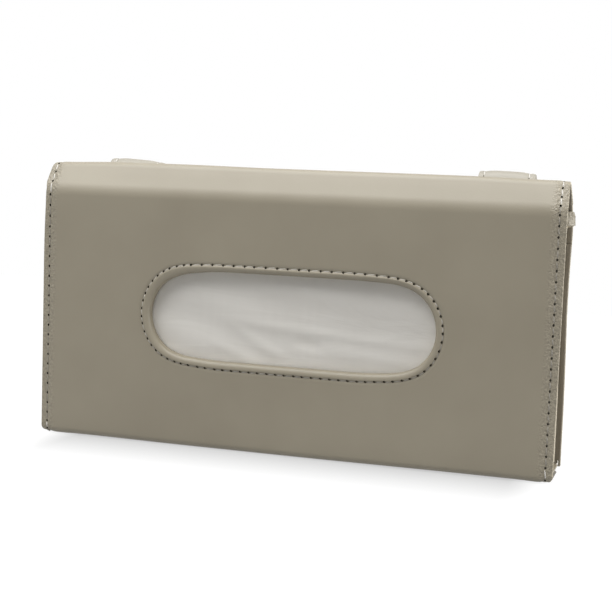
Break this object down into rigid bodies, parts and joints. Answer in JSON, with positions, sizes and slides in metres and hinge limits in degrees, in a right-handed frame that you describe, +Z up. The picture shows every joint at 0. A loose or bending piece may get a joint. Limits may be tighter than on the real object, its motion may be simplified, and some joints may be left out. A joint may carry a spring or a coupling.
{
  "type": "car tissue holder",
  "caption": "Flat imitation-leather case for a soft tissue pack, with an oval window in its flip-up magnetic cover and snap straps for a sun visor.",
  "frame": {"origin": "centre of the bounding box at the bottom, where the case stands", "axes": "+X along the width to the right as seen from the front, +Y to the back where the straps are, +Z up; the window faces -Y"},
  "size_m": [0.23, 0.0429, 0.1254],
  "materials": {
    "leather": "grey-taupe imitation leather, fine grain, satin",
    "lining": "brushed backing cloth",
    "strap_backing": "imitation leather, satin",
    "board": "grey board, bare",
    "thread": "polyester sewing thread",
    "magnet": "nickel plated",
    "snap_metal": "antique nickel, brushed",
    "tissue": "soft white facial tissue"
  },
  "bodies": {
    "case": {"anchor_stitching": "thread", "back_board": "board", "back_lining": "lining", "case_edge_stitching": "thread", "case_leather": "leather", "crown_lining": "lining", "gusset_hem_stitching": "thread", "gusset_hems": "leather", "gusset_left": "leather", "gusset_right": "leather", "pocket_board": "board", "pocket_leather": "leather", "pocket_magnets": "magnet", "snap_posts": "snap_metal", "snap_studs": "snap_metal", "strap_left_anchor": "leather", "strap_right_anchor": "leather", "tissue_stack": "tissue", "top_tissue": "tissue"},
    "cover": {"cover_leather": "leather", "cover_board": "board", "cover_lining": "lining", "lip_lining": "lining", "window_binding": "leather", "lip_magnets": "magnet", "cover_edge_stitching": "thread", "window_stitching": "thread"},
    "strap_left_free": {"strap_left": "leather", "strap_left_backing": "strap_backing", "strap_left_cap": "snap_metal", "strap_left_socket": "snap_metal", "strap_left_stitching": "thread"},
    "strap_right_free": {"strap_right": "leather", "strap_right_backing": "strap_backing", "strap_right_cap": "snap_metal", "strap_right_socket": "snap_metal", "strap_right_stitching": "thread"}
  },
  "joints": [
    {"name": "cover_hinge", "type": "hinge", "parent": "case", "child": "cover", "pos_m": [0, -0.0211, 0.1105], "axis": [-1, 0, 0], "range_deg": [0, 120]},
    {"name": "strap_left_hinge", "type": "hinge", "parent": "case", "child": "strap_left_free", "pos_m": [-0.0851, 0.015, 0.125], "axis": [1, 0, 0], "range_deg": [0, 120]},
    {"name": "strap_right_hinge", "type": "hinge", "parent": "case", "child": "strap_right_free", "pos_m": [0.0851, 0.015, 0.125], "axis": [1, 0, 0], "range_deg": [0, 120]}
  ]
}
